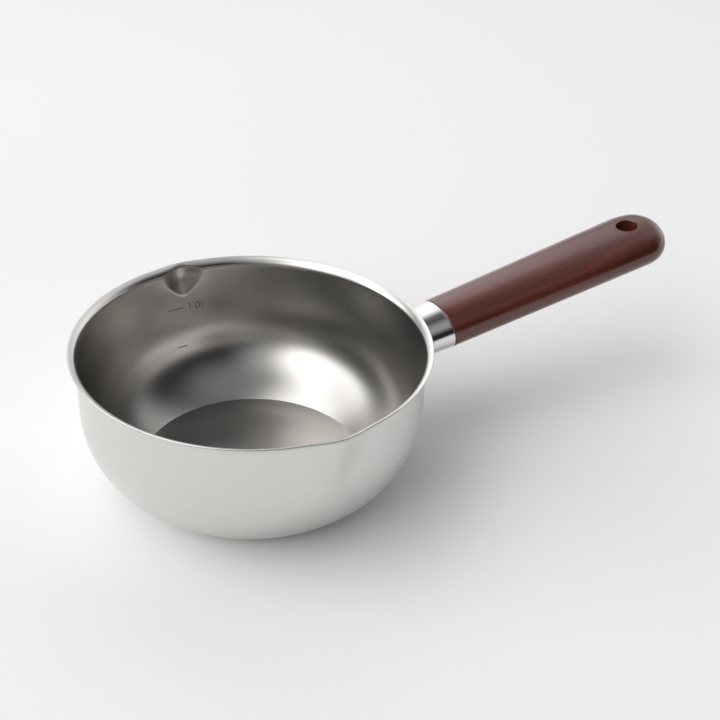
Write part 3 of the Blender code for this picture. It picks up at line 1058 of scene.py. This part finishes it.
class SAUCEPAN_OT_grip(Operator):
    """Make the lacquered wooden grip with its hanging hole"""

    bl_idname = "saucepan.grip"
    bl_label = "Grip"

    def execute(self, context):
        settings = context.scene.saucepan_handle
        shape = HandleShape(settings, BowlShape(context.scene.saucepan_bowl))
        mesh = cut(grip_mesh(shape), hole_mesh(shape))
        mesh.shade_smooth()
        mesh.set_sharp_from_angle(angle=math.radians(35))
        add_piece("grip", mesh, lacquered_wood(settings), "wooden_handle")
        return {"FINISHED"}


class SAUCEPAN_OT_fixings(Operator):
    """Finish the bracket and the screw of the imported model"""

    bl_idname = "saucepan.fixings"
    bl_label = "Fixings"

    def execute(self, context):
        material = zinc_steel(context.scene.saucepan_bowl)
        for node in ("handle_bracket", "handle_screw"):
            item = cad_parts[node]
            item.data.materials.clear()
            item.data.materials.append(material)
        return {"FINISHED"}


def soft_lamp(name, settings, bearing, rise, strength):
    """A large square lamp that fades towards its edges and faces the pan.

    Its brightness is the strength times a smooth step from its rim to near its middle.
    """
    lamp = bpy.data.lights.new(name, "AREA")
    lamp.shape = "SQUARE"
    lamp.size = settings.lamp_size
    lamp.energy = settings.level * strength * math.pi * settings.lamp_size ** 2
    finish = Finish(lamp)
    geometry = finish.node("ShaderNodeNewGeometry", {}, {})
    from_middle = finish.node("ShaderNodeVectorMath", {"operation": "DISTANCE"}, {
        0: finish.out(geometry, "Parametric"),
        1: (0.5, 0.5, 0.0),
    })
    fade = finish.node("ShaderNodeMapRange", {"interpolation_type": "SMOOTHSTEP"}, {
        "Value": finish.out(from_middle, "Value"),
        "From Min": 0.05,
        "From Max": 0.5,
        "To Min": 1.0,
        "To Max": 0.0,
    })
    emission = finish.node("ShaderNodeEmission", {}, {"Strength": finish.out(fade, "Result")})
    finish.node("ShaderNodeOutputLight", {}, {"Surface": finish.out(emission, "Emission")})
    item = bpy.data.objects.new(name, lamp)
    bpy.context.scene.collection.objects.link(item)
    item.visible_camera = False
    bearing, rise = math.radians(bearing), math.radians(rise)
    away = Vector((math.cos(bearing) * math.cos(rise), math.sin(bearing) * math.cos(rise), math.sin(rise)))
    item.location = LAMP_AIM + away * settings.lamp_distance
    item.rotation_euler = (-away).to_track_quat("-Z", "Y").to_euler()


class SAUCEPAN_OT_stage(Operator):
    """Set up the floor, the light and the camera"""

    bl_idname = "saucepan.stage"
    bl_label = "Stage"

    def execute(self, context):
        settings = context.scene.saucepan_stage
        scene = context.scene
        scene.view_settings.view_transform = "Standard"

        corners = np.array([(-1, -1, 0), (1, -1, 0), (1, 1, 0), (-1, 1, 0)]) * FLOOR_REACH
        floor = bpy.data.objects.new("floor", new_mesh("floor", corners, [np.array([[0, 1, 2, 3]])]))
        floor.data.materials.append(floor_finish(settings))
        scene.collection.objects.link(floor)

        world = bpy.data.worlds.new("room")
        scene.world = world
        room_finish(settings, world)

        for name, (bearing, rise, strength) in LAMPS.items():
            soft_lamp(name, settings, bearing, rise, strength)

        data = bpy.data.cameras.new("camera")
        data.sensor_width = 36.0
        data.lens = 62.583
        data.clip_start = 0.01
        data.clip_end = 50.0
        camera = bpy.data.objects.new("camera", data)
        # The picture's right and upward directions, and the camera's place, fitted to the photograph
        right = Vector((0.86152996, -0.50593905, 0.04232976))
        up = Vector((0.24279205, 0.48378361, 0.84083616))
        back = right.cross(up)
        turn = Matrix((right, up, back)).transposed().to_4x4()
        place = Vector((-0.2401346, -0.48874943, 0.41759936))
        camera.matrix_world = Matrix.Translation(place) @ turn
        scene.collection.objects.link(camera)
        scene.camera = camera
        return {"FINISHED"}


class SAUCEPAN_PT_panel(Panel):
    """The saucepan's settings and steps"""

    bl_idname = "SAUCEPAN_PT_panel"
    bl_label = "Saucepan"
    bl_space_type = "VIEW_3D"
    bl_region_type = "UI"
    bl_category = "Saucepan"

    def draw(self, context):
        for name, operators in STEPS:
            box = self.layout.box()
            settings = getattr(context.scene, name)
            for key in settings.__annotations__:
                box.prop(settings, key)
            for operator in operators:
                box.operator(operator.bl_idname)


STEPS = (
    ("saucepan_bowl", (SAUCEPAN_OT_bowl, SAUCEPAN_OT_marks)),
    ("saucepan_handle", (SAUCEPAN_OT_ferrule, SAUCEPAN_OT_grip, SAUCEPAN_OT_fixings)),
    ("saucepan_stage", (SAUCEPAN_OT_stage,)),
)
GROUPS = {
    "saucepan_bowl": BowlSettings,
    "saucepan_handle": HandleSettings,
    "saucepan_stage": StageSettings,
}


def register():
    for name, group in GROUPS.items():
        bpy.utils.register_class(group)
        setattr(bpy.types.Scene, name, PointerProperty(type=group))
    for _, operators in STEPS:
        for operator in operators:
            bpy.utils.register_class(operator)
    bpy.utils.register_class(SAUCEPAN_PT_panel)


def unregister():
    bpy.utils.unregister_class(SAUCEPAN_PT_panel)
    for _, operators in STEPS:
        for operator in operators:
            bpy.utils.unregister_class(operator)
    for name, group in GROUPS.items():
        delattr(bpy.types.Scene, name)
        bpy.utils.unregister_class(group)


def main():
    """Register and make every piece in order."""
    register()
    bpy.ops.saucepan.bowl()
    bpy.ops.saucepan.marks()
    bpy.ops.saucepan.ferrule()
    bpy.ops.saucepan.grip()
    bpy.ops.saucepan.fixings()
    bpy.ops.saucepan.stage()


if __name__ == "__main__":
    main()
